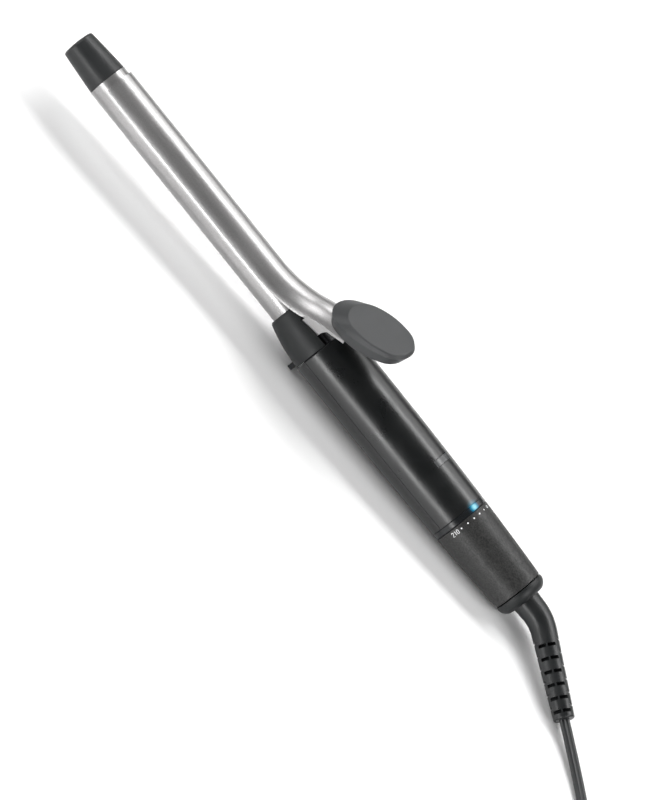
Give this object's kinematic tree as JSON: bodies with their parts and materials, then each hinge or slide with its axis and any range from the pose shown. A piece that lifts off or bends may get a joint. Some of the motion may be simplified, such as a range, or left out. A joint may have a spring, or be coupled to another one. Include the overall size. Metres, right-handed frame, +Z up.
{
  "type": "curling iron",
  "caption": "Slim hair curling iron with a spring clip and thumb lever, fold-out stand, power button, temperature dial and a swivel cord with plug.",
  "frame": {"origin": "centre of the box round the iron without its cord, on the table", "axes": "+X along the iron from the cool tip to the cord, +Z up, lever on top"},
  "size_m": [0.6019, 0.0792, 0.0575],
  "materials": {
    "tip_plastic": "fine satin, heat-resistant moulding",
    "screw_steel": "zinc plated",
    "bracket_steel": "stamped sheet",
    "barrel_coating": "warm grey metallic ceramic coating on aluminium",
    "clip_coating": "warm grey metallic coating on steel sheet",
    "spreader_aluminium": "extruded",
    "heater_ceramic": "glazed plate heater",
    "sensor_glass": "bead in a sleeve",
    "holder_plastic": "glass-filled, heat-resistant",
    "collar_plastic": "satin",
    "lever_plastic": "satin, fine texture",
    "housing_plastic": "polished",
    "spring_steel": "spring wire",
    "handle_plastic": "semi-gloss",
    "board_laminate": "green solder mask",
    "chip_epoxy": "moulded epoxy",
    "capacitor_film": "dipped box",
    "lead_sleeve": "glass-fibre sleeve",
    "lead_plastic": "insulated wire",
    "switch_plastic": "tactile switch",
    "button_plastic": "polished",
    "ring_smoke": "smoked, translucent",
    "led_blue": "clear lens, lit",
    "dial_plastic": "soft satin",
    "inner_plastic": "natural moulding",
    "contact_brass": "polished",
    "relief_rubber": "flexible PVC",
    "cord_pvc": "flat twin PVC sheath",
    "tie_fabric": "woven hook-and-loop strap",
    "plug_plastic": "moulded PVC",
    "pin_metal": "nickel plated"
  },
  "bodies": {
    "iron": {"cool_tip": "tip_plastic", "tip_screw": "screw_steel", "handle_screws": "screw_steel", "hinge_pins": "screw_steel", "stand_pin": "screw_steel", "tip_bracket": "bracket_steel", "barrel_tube": "barrel_coating", "heat_spreader_upper": "spreader_aluminium", "heat_spreader_lower": "spreader_aluminium", "heater_plate": "heater_ceramic", "thermistor": "sensor_glass", "barrel_holder": "holder_plastic", "collar": "collar_plastic", "end_cap": "collar_plastic", "spring_housing": "housing_plastic", "clip_spring": "spring_steel", "handle_upper": "handle_plastic", "handle_lower": "handle_plastic", "control_board": "board_laminate", "triac": "chip_epoxy", "film_capacitor": "capacitor_film", "heater_leads": "lead_sleeve", "mains_leads": "lead_plastic", "button_switch": "switch_plastic", "encoder_stator": "switch_plastic", "light_ring": "ring_smoke", "led": "led_blue", "rear_spindle": "inner_plastic", "brush_contacts": "contact_brass"},
    "clip_body": {"clip": "clip_coating", "thumb_lever": "lever_plastic", "lever_screw": "screw_steel"},
    "stand_body": {"stand": "collar_plastic"},
    "dial_body": {"dial": "dial_plastic", "encoder_rotor": "inner_plastic"},
    "cord_body": {"swivel_hub": "inner_plastic", "slip_rings": "contact_brass", "strain_relief": "relief_rubber", "power_cord": "cord_pvc", "cord_hank": "cord_pvc", "cord_tie": "tie_fabric", "plug_body": "plug_plastic", "plug_pins": "pin_metal"},
    "button_body": {"power_button": "button_plastic"}
  },
  "joints": [
    {"name": "clip_hinge", "type": "hinge", "parent": "iron", "child": "clip_body", "pos_m": [0.00444, 0, 0.01936], "axis": [0, 1, 0], "range_deg": [0, 18], "stiffness_Nm_per_rad": 0.4, "springref_deg": -22.92, "deforming": ["clip_spring"]},
    {"name": "stand_fold", "type": "hinge", "parent": "iron", "child": "stand_body", "pos_m": [0.01216, 0, 0.00879], "axis": [0, 1, 0], "range_deg": [0, 90]},
    {"name": "dial_turn", "type": "hinge", "parent": "iron", "child": "dial_body", "pos_m": [0.13091, 0, 0.01348], "axis": [-0.9989, 0, 0.0464], "range_deg": [-30.2, 60.4]},
    {"name": "cord_swivel", "type": "hinge", "parent": "iron", "child": "cord_body", "pos_m": [0.15089, 0, 0.01256], "axis": [0.9989, 0, -0.0464], "continuous": true},
    {"name": "button_press", "type": "slide", "parent": "iron", "child": "button_body", "axis": [-0.0464, 0, -0.9989], "range_m": [0, 0.0005], "stiffness_N_per_m": 400, "springref_m": -0.0005}
  ]
}
